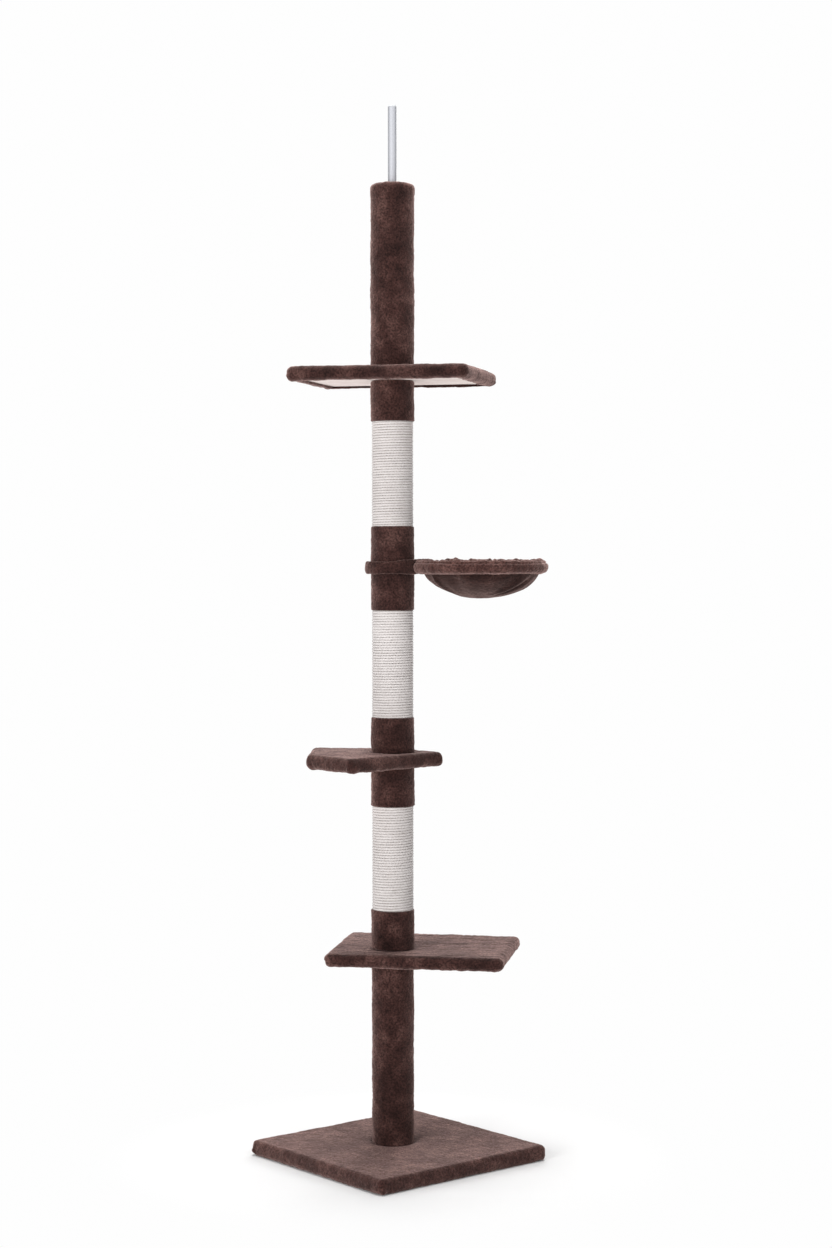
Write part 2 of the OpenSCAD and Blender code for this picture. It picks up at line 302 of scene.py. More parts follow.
def row_gap_shade(n, rows, row_scale, turn):
    """Painted shade in the wavy gaps between rows of pile, up to `rows` deep, on the upper side only."""
    lines = n.noise(1.0, 2.0, 0.5, n.stretched((9.0, row_scale, 9.0), turn), 0.25)
    off_line = n.maths("ABSOLUTE", n.maths("SUBTRACT", lines, 0.5))
    gap_shade = n.between(off_line, 0.0, 0.06, rows, 0.0)
    upper = n.add("SeparateXYZ", Vector=n.add("NewGeometry").outputs["Normal"]).outputs["Z"]
    return n.maths("MULTIPLY", gap_shade, n.between(upper, 0.6, 0.9, 0.0, 1.0))


def plush_material(name, rows=0.0, row_scale=60.0, turn=0.0, shade=1.0):
    """Short dense pile: mottled where the nap lies different ways, with a painted sheen that pales its
    colour where it is seen edge on.

    `rows` is how strongly its upper side shows wavy rows, with painted shade in their gaps, and `shade`
    scales the whole pile's colour and sheen, so that copies can be painted lighter or darker in place of
    light and shade."""
    n = Nodes(name)
    patches = n.noise(26.0, 3.0, 0.5, distortion=0.2)
    broad = n.noise(9.0, 2.0, 0.5)
    tufts = n.noise(260.0, 2.0, 0.6)
    fibres = n.noise(820.0, 2.0, 0.7)
    tone = n.maths("ADD", n.maths("MULTIPLY", patches, 0.6), n.maths("MULTIPLY", broad, 0.4))
    nap = n.between(tone, 0.30, 0.72, 0.0, 1.0)
    colour = n.ramp(nap, [(0.0, PLUSH_DARK), (0.5, PLUSH_MID), (1.0, PLUSH_LIGHT)])
    # painted sheen: the colour is paled towards the sheen tint where the pile is seen edge on, more where
    # the nap is light
    facing = n.add("LayerWeight", Blend=0.5).outputs["Facing"]
    painted_sheen = n.maths("MULTIPLY", n.maths("POWER", facing, 3.4), n.between(nap, 0.0, 1.0, 0.26, 0.70))
    if rows:
        # painted shade: the gaps between rows of pile are darkened, and the painted sheen is taken away
        # there
        gap_shade = row_gap_shade(n, rows, row_scale, turn)
        painted_sheen = n.maths("MULTIPLY", painted_sheen, n.maths("SUBTRACT", 1.0, gap_shade))
        colour = n.mix(gap_shade, colour, PLUSH_DARK)
    colour = n.mix(painted_sheen, colour, PLUSH_SHEEN)
    coarse = n.between(tufts, 0.34, 0.66, 0.42, 1.62)
    stipple = n.maths("MULTIPLY", coarse, n.between(fibres, 0.3, 0.7, 0.75, 1.25))
    # painted light and shade: `shade` brightens or darkens the whole colour for lit and shaded copies of
    # the plush
    stipple = n.maths("MULTIPLY", stipple, shade)
    colour = n.add("VectorMath", operation="SCALE", Vector=colour, Scale=stipple)
    height = n.maths("ADD", n.maths("MULTIPLY", tufts, 0.6), n.maths("MULTIPLY", fibres, 0.4))
    return n.finish(
        Base_Color=colour.outputs["Vector"],
        Roughness=n.maths("ADD", 0.84, n.maths("MULTIPLY", tufts, 0.14)),
        Normal=n.bump(height, 1.0, 0.0022),
        Sheen_Weight=0.32 * shade,
        Sheen_Roughness=0.5,
        Sheen_Tint=PLUSH_SHEEN,
        Specular_IOR_Level=0.08,
    )


def sisal_material():
    """Off-white twisted fibre with a few dark specks."""
    n = Nodes("sisal")
    fibres = n.noise(1.0, 4.0, 0.65, n.stretched((110.0, 110.0, 1500.0)))
    strands = n.noise(340.0, 2.0, 0.5)
    patches = n.noise(14.0, 3.0, 0.5)
    tone = n.maths("ADD", n.maths("MULTIPLY", fibres, 0.5), n.maths("MULTIPLY", strands, 0.25))
    tone = n.maths("ADD", tone, n.maths("MULTIPLY", patches, 0.25))
    dark, middle, pale = srgb(182, 173, 168), srgb(215, 209, 207), srgb(230, 225, 223)
    colour = n.ramp(tone, [(0.30, dark), (0.48, middle), (0.68, pale)])
    specks = n.ramp(n.noise(120.0, 1.0, 0.4), [(0.165, srgb(112, 88, 72)), (0.18, (1, 1, 1, 1))])
    colour = n.mix(0.7, colour, specks, "MULTIPLY")
    return n.finish(
        Base_Color=colour,
        Roughness=n.maths("ADD", 0.72, n.maths("MULTIPLY", fibres, 0.25)),
        Normal=n.bump(n.maths("ADD", fibres, strands), 0.8, 0.0008),
        Sheen_Weight=0.15,
        Sheen_Roughness=0.5,
        Specular_IOR_Level=0.2,
    )


def lining_material():
    """Thin cream non-woven cloth with pressed fibres."""
    n = Nodes("lining")
    fibres = n.noise(420.0, 4.0, 0.75)
    cloud = n.noise(22.0, 3.0, 0.55)
    colour = n.ramp(n.maths("ADD", n.maths("MULTIPLY", fibres, 0.4), n.maths("MULTIPLY", cloud, 0.6)),
                    [(0.35, srgb(226, 208, 202)), (0.65, srgb(250, 240, 235))])
    return n.finish(Base_Color=colour, Roughness=n.maths("ADD", 0.8, n.maths("MULTIPLY", fibres, 0.15)),
                    Normal=n.bump(fibres, 0.5, 0.0006), Specular_IOR_Level=0.15)


# colour of the painted shade on metal where it turns away
STEEL_EDGE_SHADE = srgb(104, 106, 112)


def steel_material(name, colour_a, colour_b, rough, metallic, grain=(700.0, 700.0, 6.0), rim=0.0):
    """Metal drawn along Z, with fine streaks and faint smudges, and painted shade that darkens it where it
    turns away, by `rim`.
    """
    n = Nodes(name)
    streaks = n.noise(1.0, 4.0, 0.7, n.stretched(grain))
    smudges = n.noise(30.0, 3.0, 0.6)
    colour = n.mix(streaks, colour_a, colour_b)
    # painted shade: the colour is darkened towards the edge shade where the surface turns away
    if rim:
        facing = n.add("LayerWeight", Blend=0.42).outputs["Facing"]
        colour = n.mix(n.maths("MULTIPLY", facing, rim), colour, STEEL_EDGE_SHADE)
    rough_map = n.maths("ADD", rough - 0.08, n.maths("MULTIPLY", smudges, 0.2))
    return n.finish(Base_Color=colour, Metallic=metallic, Roughness=rough_map,
                    Normal=n.bump(streaks, 0.12, 0.0002))


def grained_material(name, dark, light, stretch, rough):
    """Chipboard, wood or paper: fibres stretched one way."""
    n = Nodes(name)
    grain = n.noise(1.0, 5.0, 0.7, n.stretched(stretch))
    flecks = n.noise(240.0, 3.0, 0.6)
    tone = n.maths("ADD", n.maths("MULTIPLY", grain, 0.6), n.maths("MULTIPLY", flecks, 0.4))
    return n.finish(Base_Color=n.ramp(tone, [(0.35, dark), (0.65, light)]),
                    Roughness=n.maths("ADD", rough - 0.1, n.maths("MULTIPLY", flecks, 0.2)),
                    Normal=n.bump(tone, 0.3, 0.0006))


def plastic_material(name, colour, shade, rough):
    """Moulded plastic or paint, faintly clouded and pebbled."""
    n = Nodes(name)
    mould = n.noise(900.0, 2.0, 0.6)
    cloud = n.noise(40.0, 2.0, 0.5)
    return n.finish(Base_Color=n.mix(cloud, colour, shade),
                    Roughness=n.maths("ADD", rough - 0.06, n.maths("MULTIPLY", mould, 0.12)),
                    Normal=n.bump(mould, 0.25, 0.0002))


plush = plush_material("plush")
# on these two the gaps between rows of pile on the upper side carry painted shade
ribbed_plush = plush_material("ribbed_plush", rows=0.9)
base_plush = plush_material("base_plush", rows=0.4, row_scale=90.0, turn=math.radians(50))
# painted shade: the bowl's copy of the plush is darkened to stand in for the shade on its hanging underside
bowl_plush_painted_shade = plush_material("bowl_plush_painted_shade", shade=0.6)
# painted light: the rim's copy of the plush is lightened to stand in for the light on its top and front
rim_plush_painted_light = plush_material("rim_plush_painted_light", shade=1.25)
sisal = sisal_material()
lining = lining_material()
# the rod's metal has painted shade along its edges
rod_steel = steel_material("rod_steel", srgb(184, 186, 192), srgb(206, 207, 213), 0.5, 0.2, rim=1.0)
zinc = steel_material("zinc", srgb(176, 180, 186), srgb(214, 216, 220), 0.38, 1.0)
spring_steel = steel_material(
    "spring_steel", srgb(120, 123, 128), srgb(160, 162, 168), 0.35, 1.0, grain=(500.0, 500.0, 500.0))
wire_paint = plastic_material("wire_paint", srgb(34, 32, 32), srgb(52, 50, 50), 0.42)
chipboard = grained_material(
    "chipboard", srgb(150, 118, 78), srgb(216, 186, 142), (300.0, 300.0, 900.0), 0.8)
plug_wood = grained_material(
    "plug_wood", srgb(168, 132, 88), srgb(222, 192, 146), (60.0, 600.0, 600.0), 0.7)
paper = grained_material(
    "paper_tube", srgb(140, 112, 80), srgb(178, 148, 110), (90.0, 90.0, 700.0), 0.85)
dark_plastic = plastic_material("dark_plastic", srgb(38, 38, 40), srgb(58, 58, 60), 0.5)
pale_plastic = plastic_material("pale_plastic", srgb(214, 216, 219), srgb(232, 233, 235), 0.4)

# the material of each of the record's material slots
SLOT_MATERIALS = {
    "chipboard": chipboard,
    "plug_wood": plug_wood,
    "paper_tube": paper,
    "zinc_steel": zinc,
    "wire_steel": wire_paint,
    "spring_steel": spring_steel,
    "dark_plastic": dark_plastic,
    "pale_plastic": pale_plastic,
    "rod_steel": rod_steel,
    "lining_cream": lining,
    "plush_brown": plush,
    "sisal_rope": sisal,
}


def finish_cad_nodes():
    """Every CAD node gets its slot's procedural material, shown or not."""
    for part in frame["record"]["subparts"]:
        node = frame["nodes"][part["node"]]
        material = SLOT_MATERIALS[part["material_slot"]]
        node.data.materials.clear()
        node.data.materials.append(material)
        for polygon in node.data.polygons:
            polygon.material_index = 0


# ---------------------------------------------------------------- posts

SLEEVE_STEP = 0.0019
SLEEVE_COLUMNS = 152
SEAM_ANGLE = math.radians(97)

# how round a sleeve's end is: pressed up under a shelf, against the sisal, or standing on a board
AT_SHELF, AT_SISAL, ON_TOP = 0.0055, 0.0024, 0.0035


def seam_down(points, outside):
    """Pulls in a narrow line on the back, where the sleeve's edges meet."""
    angle = np.arctan2(points[:, 1], points[:, 0]) - SEAM_ANGLE
    across = np.abs(angle) * POST_R
    depth = 0.0016 * np.exp(-((across / 0.0022) ** 2)) * outside
    shrink = 1 - depth / POST_R
    return points * np.stack([shrink, shrink, np.ones(len(points))], -1)


def plush_sleeve(node, seed, bottom_round, top_round, lift=PILE_LIFT):
    """Plush wrapped round a tube: rolled ends, uneven pile and a seam down the back."""
    z0, z1 = z_range(node)
    inner = CORE_R + TUBE_GAP
    profile = [(inner, z0)]
    profile += arc((POST_R - bottom_round, z0 + bottom_round), bottom_round, -90, 0, 4)
    profile += line((POST_R, z0 + bottom_round), (POST_R, z1 - top_round), SLEEVE_STEP)
    profile += arc((POST_R - top_round, z1 - top_round), top_round, 0, 90, 4)
    profile += [(inner, z1)]
    profile += line((inner, z1), (inner, z0), HIDDEN_STEP)
    points = turned(profile, SLEEVE_COLUMNS).reshape(-1, 3)
    quads = grid_faces(len(profile), SLEEVE_COLUMNS, True)
    outside = np.clip((np.hypot(points[:, 0], points[:, 1]) - inner) / (POST_R - inner), 0, 1)
    points = fluffed(points, quads, seed, outside, lift)
    points = seam_down(points, outside)
    return stand_in(node, "_plush", points, quads, "tower", plush)


def closed_profile(z0, z1, inner, hole):
    """Half section of a sleeve that turns in over its top end, down to the hole in the middle."""
    shoulder, dip, hem_r, plush_t = 0.0095, 0.0010, 0.0020, 0.0055
    turn_z = z1 - shoulder - dip
    profile = [(inner, z0)]
    profile += arc((POST_R - ON_TOP, z0 + ON_TOP), ON_TOP, -90, 0, 4)
    profile += line((POST_R, z0 + ON_TOP), (POST_R, turn_z), SLEEVE_STEP)
    profile += arc((POST_R - shoulder, turn_z), shoulder, 0, 82, 7)
    profile += line((POST_R - shoulder + 0.001, z1 - 0.0011), (hole + 0.003, z1 - 0.0008), SLEEVE_STEP)
    profile += arc((hole + hem_r, z1 - dip - hem_r), hem_r, 90, 180, 3)
    profile += [(hole, z1 - plush_t), (inner, z1 - plush_t)]
    profile += line((inner, z1 - plush_t), (inner, z0), HIDDEN_STEP)
    return profile


def top_sleeve(node, seed):
    """The top post's sleeve, closed over its end, with the rod's hole in the middle."""
    z0, z1 = z_range(node)
    inner, hole = CORE_R + TUBE_GAP, ROD_R + ROD_GAP
    profile = closed_profile(z0, z1, inner, hole)
    points = turned(profile, SLEEVE_COLUMNS).reshape(-1, 3)
    quads = grid_faces(len(profile), SLEEVE_COLUMNS, True)
    from_axis = np.hypot(points[:, 0], points[:, 1])
    under = (np.abs(from_axis - inner) < 1e-5) | (from_axis < hole + 0.0022)
    swell = 0.0013 * np.exp(-(((points[:, 2] - z1 + 0.012) / 0.014) ** 2)) * (from_axis > 0.8 * POST_R)
    points[:, :2] *= 1 + (swell / from_axis)[:, None]
    points = fluffed(points, quads, seed, np.where(under, 0.0, 1.0))
    points = seam_down(points, np.where(under | (from_axis < 0.9 * POST_R), 0.0, 1.0))
    return stand_in(node, "_plush", points, quads, "tower", plush)


ROPE_PITCH = 0.00556
ROPE_COLUMNS = 132
ROPE_SIDES = 12
STRAND_PITCH = 0.021


def sisal_winding(node, seed):
    """One three-strand rope wound tightly round the tube; its two ends taper against the collars.

    `t` counts turns, and `low` and `high` are the rope's lower and upper edges there."""
    z0, z1 = z_range(node)
    turns = int((z1 - z0) / ROPE_PITCH)
    pitch = (z1 - z0) / turns
    rings = (turns + 1) * ROPE_COLUMNS - 1
    t = (np.arange(rings) + 1) / ROPE_COLUMNS
    low = z0 + pitch * np.maximum(t - 1, 0)
    high = np.minimum(z0 + pitch * t, z1)
    half = (high - low)[:, None] / 2 * 1.01
    rope_r = pitch / 2
    depth = rope_r * np.sqrt(np.minimum(half / rope_r, 1))
    angle = 2 * np.pi * t + seed
    length = 2 * np.pi * SISAL_R * t
    along = np.stack([length, 0 * t, 0 * t], -1)
    round_it = np.arange(ROPE_SIDES) / ROPE_SIDES * 2 * np.pi
    lobes = np.cos(3 * (round_it[None, :] - 2 * np.pi * length[:, None] / STRAND_PITCH))
    worn = 0.05 * lattice_noise(along, 0.03, seed + 1)[:, None]
    section = 0.94 + 0.11 * lobes + worn
    wander = 0.0002 * lattice_noise(along, 0.06, seed)[:, None]
    r = SISAL_R + wander - depth + depth * section * np.cos(round_it)
    points = np.stack([
        r * np.cos(angle)[:, None],
        r * np.sin(angle)[:, None],
        (low + high)[:, None] / 2 + half * section * np.sin(round_it),
    ], -1).reshape(-1, 3)
    faces = tube_faces(rings, ROPE_SIDES)
    return stand_in(node, "_rope", points, faces, "tower", sisal)


SPRING_WIRE_R = 0.00125
SPRING_TURNS = 15
SPRING_COLUMNS = 36
SPRING_SIDES = 10


def coil_spring(node):
    """The rod's compression spring, built at the CAD node's length; the real spring shortens as the rod
    goes down.
    """
    z0, z1 = z_range(node)
    rings = SPRING_TURNS * SPRING_COLUMNS + 1
    turn = 2 * np.pi * np.arange(rings)[:, None] / SPRING_COLUMNS
    height = np.linspace(z0 + SPRING_WIRE_R, z1 - SPRING_WIRE_R, rings)[:, None]
    section = 2 * np.pi * np.arange(SPRING_SIDES)[None, :] / SPRING_SIDES
    r = radius_of(node) - SPRING_WIRE_R + SPRING_WIRE_R * np.cos(section)
    z = height + SPRING_WIRE_R * np.sin(section)
    points = np.stack([r * np.cos(turn), r * np.sin(turn), z + 0 * turn], -1).reshape(-1, 3)
    faces = tube_faces(rings, SPRING_SIDES)
    piece = stand_in(node, "_coil", points, faces, "tower", spring_steel)
    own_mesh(piece)
    return piece


# ---------------------------------------------------------------- base and shelves


def corners_of(node):
    """Sharp corners of a CAD cover's outline in plan: where its long straight sides meet."""
    flat = [Vector((v.co.x, v.co.y)) for v in frame["nodes"][node].data.vertices]
    hull = [flat[i] for i in convex_hull_2d(flat)]
    sides = []
    for k, start in enumerate(hull):
        end = hull[(k + 1) % len(hull)]
        if (end - start).length > 0.04:
            sides.append((start, (end - start).normalized()))
    corners = []
    for (p, u), (q, v) in zip(sides, sides[1:] + sides[:1]):
        along = ((q - p).x * v.y - (q - p).y * v.x) / (u.x * v.y - u.y * v.x)
        corners.append(p + u * along)
    return np.array([[c.x, c.y] for c in corners])


def inset(corners, d):
    """Corners after each side has moved inwards by d."""
    before, after = np.roll(corners, 1, axis=0), np.roll(corners, -1, axis=0)
    a = (corners - before) / np.linalg.norm(corners - before, axis=1, keepdims=True)
    b = (after - corners) / np.linalg.norm(after - corners, axis=1, keepdims=True)
    inward = np.stack([-a[:, 1] - b[:, 1], a[:, 0] + b[:, 0]], -1)
    return corners + d * inward / (1 + (a * b).sum(1))[:, None]


def rounded_loop(corners, d, r, counts, corner_steps):
    """The outline inset by d with corners of radius r, always with the same number of points."""
    centres = inset(corners, d + r)
    after = np.roll(centres, -1, axis=0)
    along = (after - centres) / np.linalg.norm(after - centres, axis=1, keepdims=True)
    out = np.stack([along[:, 1], -along[:, 0]], -1)
    points = []
    for k, centre in enumerate(centres):
        turn = math.atan2(np.cross(out[k - 1], out[k]), out[k - 1] @ out[k])
        first = math.atan2(out[k - 1][1], out[k - 1][0])
        for step in range(corner_steps + 1):
            a = first + turn * step / corner_steps
            points.append(centre + r * np.array([math.cos(a), math.sin(a)]))
        start, end = centre + r * out[k], after[k] + r * out[k]
        points += [start + (end - start) * s / counts[k] for s in range(1, counts[k])]
    return np.array(points)


EDGE_R = 0.0105
CORNER_R = 0.0115
TIGHT_R = 0.003
HEM_W = 0.018
BASE_HEM_T = 0.002
SHELF_HEM_T = 0.0055
TOP_PLUSH_T = 0.0057
WALL_PLUSH_T = 0.006
COVER_STEP = 0.0024
POST_PRESS = 0.0024


class CoverRings:
    """Rings of points along a cover's outline, stacked into the cover's shell."""

    def __init__(self, node):
        self.corners = corners_of(node)
        self.middle = self.corners.mean(0)
        sides = np.linalg.norm(np.roll(self.corners, -1, axis=0) - self.corners, axis=1)
        self.counts = [int(round(side / COVER_STEP)) for side in sides]
        self.rings = []

    def loop(self, d, r=TIGHT_R):
        """The outline inset by d, with corners of radius r."""
        return rounded_loop(self.corners, d, r, self.counts, 6)

    def add(self, loop, z):
        """The loop at the height z, as the next ring."""
        self.rings.append(np.column_stack([loop, np.full(len(loop), z)]))

    def add_outside(self, d, z):
        """A ring of the outer side; its corners get tighter further in."""
        self.add(self.loop(d, max(CORNER_R - d, TIGHT_R)), z)

    def add_shrunk(self, loop, share, z):
        """A ring that is the loop drawn in towards the outline's middle."""
        self.add(self.middle + (loop - self.middle) * share, z)


def cover_outside(cover, z0, z1):
    """Rings from the middle of the top, over the soft edge and down the side, to the end of the hem."""
    edge = min(EDGE_R, (z1 - z0) / 2 - 0.001)
    flat_start = cover.loop(edge)
    reach = np.linalg.norm(flat_start - cover.middle, axis=1).min()
    top_rings = int(reach / COVER_STEP)
    for k in range(top_rings):
        cover.add_shrunk(flat_start, (k + 0.3) / (top_rings + 0.3), z1)
    bend = np.radians(np.linspace(0, 90, 7))
    for a in bend[::-1]:
        cover.add_outside(edge - edge * math.cos(a), z1 - edge + edge * math.sin(a))
    for z, _ in line((z1 - edge, 0), (z0 + edge, 0), COVER_STEP):
        cover.add_outside(0, z)
    for a in bend:
        cover.add_outside(edge - edge * math.cos(a), z0 + edge - edge * math.sin(a))
    for d in np.linspace(edge, HEM_W, 5)[1:]:
        cover.add_outside(d, z0)


def cover_inside(cover, z0, z1, hem_t):
    """Rings from the end of the hem, back over it, up beside the board and in under the top."""
    cover.add_outside(HEM_W + 0.0004, z0 + hem_t * 0.5)
    cover.add(cover.loop(HEM_W), z0 + hem_t)
    wall = cover.loop(WALL_PLUSH_T)
    cover.add(wall, z0 + hem_t)
    cover.add(wall, z1 - TOP_PLUSH_T)
    for share in (0.66, 0.33, 0.05):
        cover.add_shrunk(wall, share, z1 - TOP_PLUSH_T)


def gathers(points, corners, z0, z1, seed):
    """How far the cloth stands out where it bunches round the lower corners and along the hem's fold."""
    near_corner = np.linalg.norm(points[:, None, :2] - corners[None], axis=2).min(1)
    bunch = np.exp(-((near_corner / 0.024) ** 2)) * (points[:, 2] < (z0 + z1) / 2)
    low = np.exp(-(((points[:, 2] - z0) / 0.006) ** 2))
    bunched = 0.0030 * bunch * lattice_noise(points, 0.010, seed + 5)
    return bunched + 0.0012 * low * lattice_noise(points, 0.013, seed + 6)


def waved_hem(points, flat, middle, seed):
    """The hem's end drawn in and out unevenly; `flat` is where its points lay at first."""
    wave = 0.0016 * lattice_noise(flat * [1, 1, 0], 0.02, seed + 9)
    points[:, :2] += (middle - flat[:, :2]) / 0.15 * wave[:, None]


def press_under_post(points, on_top, depth):
    """The pile pressed down round the post that stands on it."""
    from_post = np.hypot(points[:, 0], points[:, 1])
    pressed = depth * np.exp(-np.clip(from_post - POST_R, 0, None) / 0.007)
    points[:, 2] -= np.where(on_top, pressed, 0)


def plush_board(node, body, seed, hem_t, lift, rise, material):
    """Plush pulled over a board: soft round edges, turned under as a hem, open inside for the board.

    `lift` is how far its sides stand out past the CAD cover, `rise` how far its top stands up."""
    z0, z1 = z_range(node)
    cover = CoverRings(node)
    cover_outside(cover, z0, z1)
    outer_rings = len(cover.rings)
    cover_inside(cover, z0, z1, hem_t)
    columns = len(cover.rings[0])
    flat = np.concatenate(cover.rings)
    quads = grid_faces(len(cover.rings), columns, False)
    mask = np.zeros(len(flat))
    mask[: outer_rings * columns] = 1.0
    on_floor = (z0 < 0.01) & (flat[:, 2] < z0 + 0.0005)
    mask[on_floor] = 0
    normals = point_normals(flat, quads)
    points = fluffed(flat, quads, seed, mask, 0.0)
    points += normals * (gathers(flat, cover.corners, z0, z1, seed) * mask)[:, None]
    points += normals * [lift, lift, 0.0009] * mask[:, None]
    points[:, 2] += rise * np.clip(normals[:, 2], 0, 1) * mask
    points[:, 2] = np.maximum(points[:, 2], 0)
    on_hem = slice((outer_rings - 2) * columns, (outer_rings + 2) * columns)
    waved_hem(points[on_hem], flat[on_hem], cover.middle, seed)
    press_under_post(points, (flat[:, 2] > z1 - 0.001) & (mask > 0), POST_PRESS + rise)
    faces = tube_faces(len(cover.rings), columns)
    return stand_in(node, "_plush", points, faces, body, material)


# ---------------------------------------------------------------- hammock

RIM_COLUMNS = 700
RIM_SIDES = 44


def smooth_step(share):
    """A share eased at both its ends, 0 and 1."""
    return share * share * (3 - 2 * share)


def ring_sleeve(node, seed):
    """Plush band round the post; it widens upwards where it meets the rim."""
    z0, z1 = z_range(node)
    inner = POST_R + 0.0003
    half, mid = (z1 - z0) / 2 + 0.0012, (z0 + z1) / 2
    thick = RING_R - inner + 0.0006
    columns, sides = 190, 38
    squareness = 0.62
    angles = np.linspace(0, 2 * np.pi, columns, endpoint=False)[None, :]
    section = np.linspace(0, 2 * np.pi, sides, endpoint=False)[:, None]
    across = np.sign(np.cos(section)) * np.abs(np.cos(section)) ** squareness
    up = np.sign(np.sin(section)) * np.abs(np.sin(section)) ** squareness
    flare = smooth_step(np.clip((np.cos(angles) + 0.15) / 0.75, 0, 1))
    r = inner + thick / 2 + across * thick / 2
    z = mid + 0.0008 + up * half + 0.0042 * flare * np.clip(up, 0, 1)
    pleat = np.exp(-(((z - mid - 0.010 * (flare - 0.45)) / 0.0022) ** 2)) * flare * (across > 0.5)
    r = r - 0.0012 * pleat
    points = np.stack([r * np.cos(angles), r * np.sin(angles), z], -1).reshape(-1, 3)
    quads = grid_faces(sides, columns, True)
    outside = np.clip((np.hypot(points[:, 0], points[:, 1]) - inner) / thick * 1.6, 0, 1)
    wrinkle = 0.0008 * lattice_noise(points * [1, 1, 2.2], 0.016, seed + 5)
    normals = point_normals(points, quads)
    points = fluffed(points, quads, seed, outside) + normals * (wrinkle * outside)[:, None]
    return stand_in(node, "_plush", points, quads, "hammock", plush)


def hollow(angle, at, width, depth):
    """A hollow of that depth, round the angle `at` of the section."""
    return -depth * np.exp(-(((angle - at) / width) ** 2))


def rim_section(phi, psi, seed):
    """The sleeve's radius at each angle phi round the rim and psi round its section."""
    outward, up = np.cos(psi)[None, :], np.sin(psi)[None, :]
    on_ring = np.stack([RIM_R * np.cos(phi), RIM_R * np.sin(phi), 0 * phi], -1)
    ruffle = lattice_noise(on_ring, 0.0068, seed) + 0.5 * lattice_noise(on_ring, 0.015, seed + 1)
    slack = lattice_noise(on_ring, 0.045, seed + 2)
    inside_top = np.clip((psi - math.radians(60)) / 0.5, 0, 1)
    inside_top = inside_top * np.clip((math.radians(235) - psi) / 0.8, 0, 1)
    crease_at = math.radians(37) + 0.10 * slack[:, None]
    hem_at = math.radians(292) + 0.06 * ruffle[:, None]
    lumps = lattice_noise(on_ring, 0.015, seed + 4)[:, None] * np.clip(outward, 0, 1)
    r = RIM_TUBE_R * 0.965 + 0.0034 * ruffle[:, None] * inside_top[None, :]
    r = r + hollow(psi[None, :], crease_at, 0.15, 0.0026)
    r = r + hollow(psi[None, :], hem_at, 0.12, 0.0012)
    return r + 0.0013 * lumps + 0.0008 * slack[:, None] * np.clip(-up, 0, 1)


def rim_sleeve(node, seed):
    """Gathered plush tube on the round rim: smooth outside, creased along its top, ruffled inside.

    It is held off the band round the post, where the two meet."""
    phi = np.linspace(0, 2 * np.pi, RIM_COLUMNS, endpoint=False)
    psi = np.linspace(0, 2 * np.pi, RIM_SIDES, endpoint=False)
    r = rim_section(phi, psi, seed)
    ring_r = RIM_R + r * np.cos(psi)[None, :]
    x = RIM_MID.x - ring_r * np.cos(phi)[:, None]
    y = -ring_r * np.sin(phi)[:, None]
    z = RIM_MID.z + r * np.sin(psi)[None, :]
    from_post = np.hypot(x, y)
    clear = np.maximum(from_post, RING_R + 0.0012) / from_post
    points = np.stack([x * clear, y * clear, z], -1).reshape(-1, 3)
    quads = grid_faces(RIM_COLUMNS, RIM_SIDES, True)
    held = np.clip((np.hypot(points[:, 0], points[:, 1]) - RING_R - 0.0014) / 0.002, 0, 1)
    points = fluffed(points, quads, seed + 3, held)
    piece = stand_in(node, "_plush", points, quads, "hammock", rim_plush_painted_light)
    return piece


def fold_ridge(phi, share, at, turn, width, height):
    """A ridge that runs down the bowl from the rim at the angle `at`, turning as it goes down."""
    off = (phi - at - turn * (1 - share) + np.pi) % (2 * np.pi) - np.pi
    return height * np.exp(-((off / width) ** 2)) * np.clip((share - 0.35) / 0.3, 0, 1)


# each fold's angle and its turn on the way down, in degrees, its width in radians and its height
BOWL_FOLDS = (
    (-40, -52, 0.11, 0.0042),
    (-27, -46, 0.10, -0.0046),
    (-147, 0, 0.07, 0.0034),
    (-122, -6, 0.16, -0.0030),
    (118, 30, 0.13, 0.0030),
)
BOWL_RINGS = 84
BOWL_COLUMNS = 300
BOWL_CLOTH_T = 0.0042


def bowl_folds(phi, share, above):
    """How far the cloth stands out in its folds; `above` is 0 at the bottom and 1 a little way up."""
    waves = np.cos(9 * phi + 2.1 * np.sin(2 * phi) + 0.6) + 0.6 * np.cos(14 * phi + 1.3 * np.sin(3 * phi))
    folds = 0.0013 * waves * share ** 2 * above
    for at, turn, width, height in BOWL_FOLDS:
        folds = folds + fold_ridge(phi, share, math.radians(at), math.radians(turn), width, height)
    return folds * np.clip((1 - share) * 9, 0, 1)


def bowl_outside(seed):
    """Points and normals of the bowl's outer side, ring by ring from its bottom to the rim."""
    share = np.linspace(0.004, 1, BOWL_RINGS)[:, None]
    phi = np.linspace(0, 2 * np.pi, BOWL_COLUMNS, endpoint=False)[None, :]
    reach = BOWL_R + 0.0025 * np.cos(phi)
    power = 1.88 + 0.13 * np.cos(phi)
    drop = (BOWL_DEPTH + 0.002) * (1 - share ** power) ** (1 / power)
    above = np.clip((BOWL_DEPTH - drop) / 0.02, 0, 1)
    folds = bowl_folds(phi, share, above)
    r = reach * share + folds
    x = RIM_MID.x + r * np.cos(phi)
    y = r * np.sin(phi)
    z = RIM_MID.z - np.maximum(drop, 0.30 * RIM_TUBE_R) - folds * 0.7
    points = np.stack([x, y, z], -1).reshape(-1, 3)
    normals = point_normals(points, grid_faces(BOWL_RINGS, BOWL_COLUMNS, False))
    if normals[0, 2] > 0:
        normals = -normals
    points = points + normals * (0.0010 * lattice_noise(points, 0.03, seed))[:, None]
    return points, normals


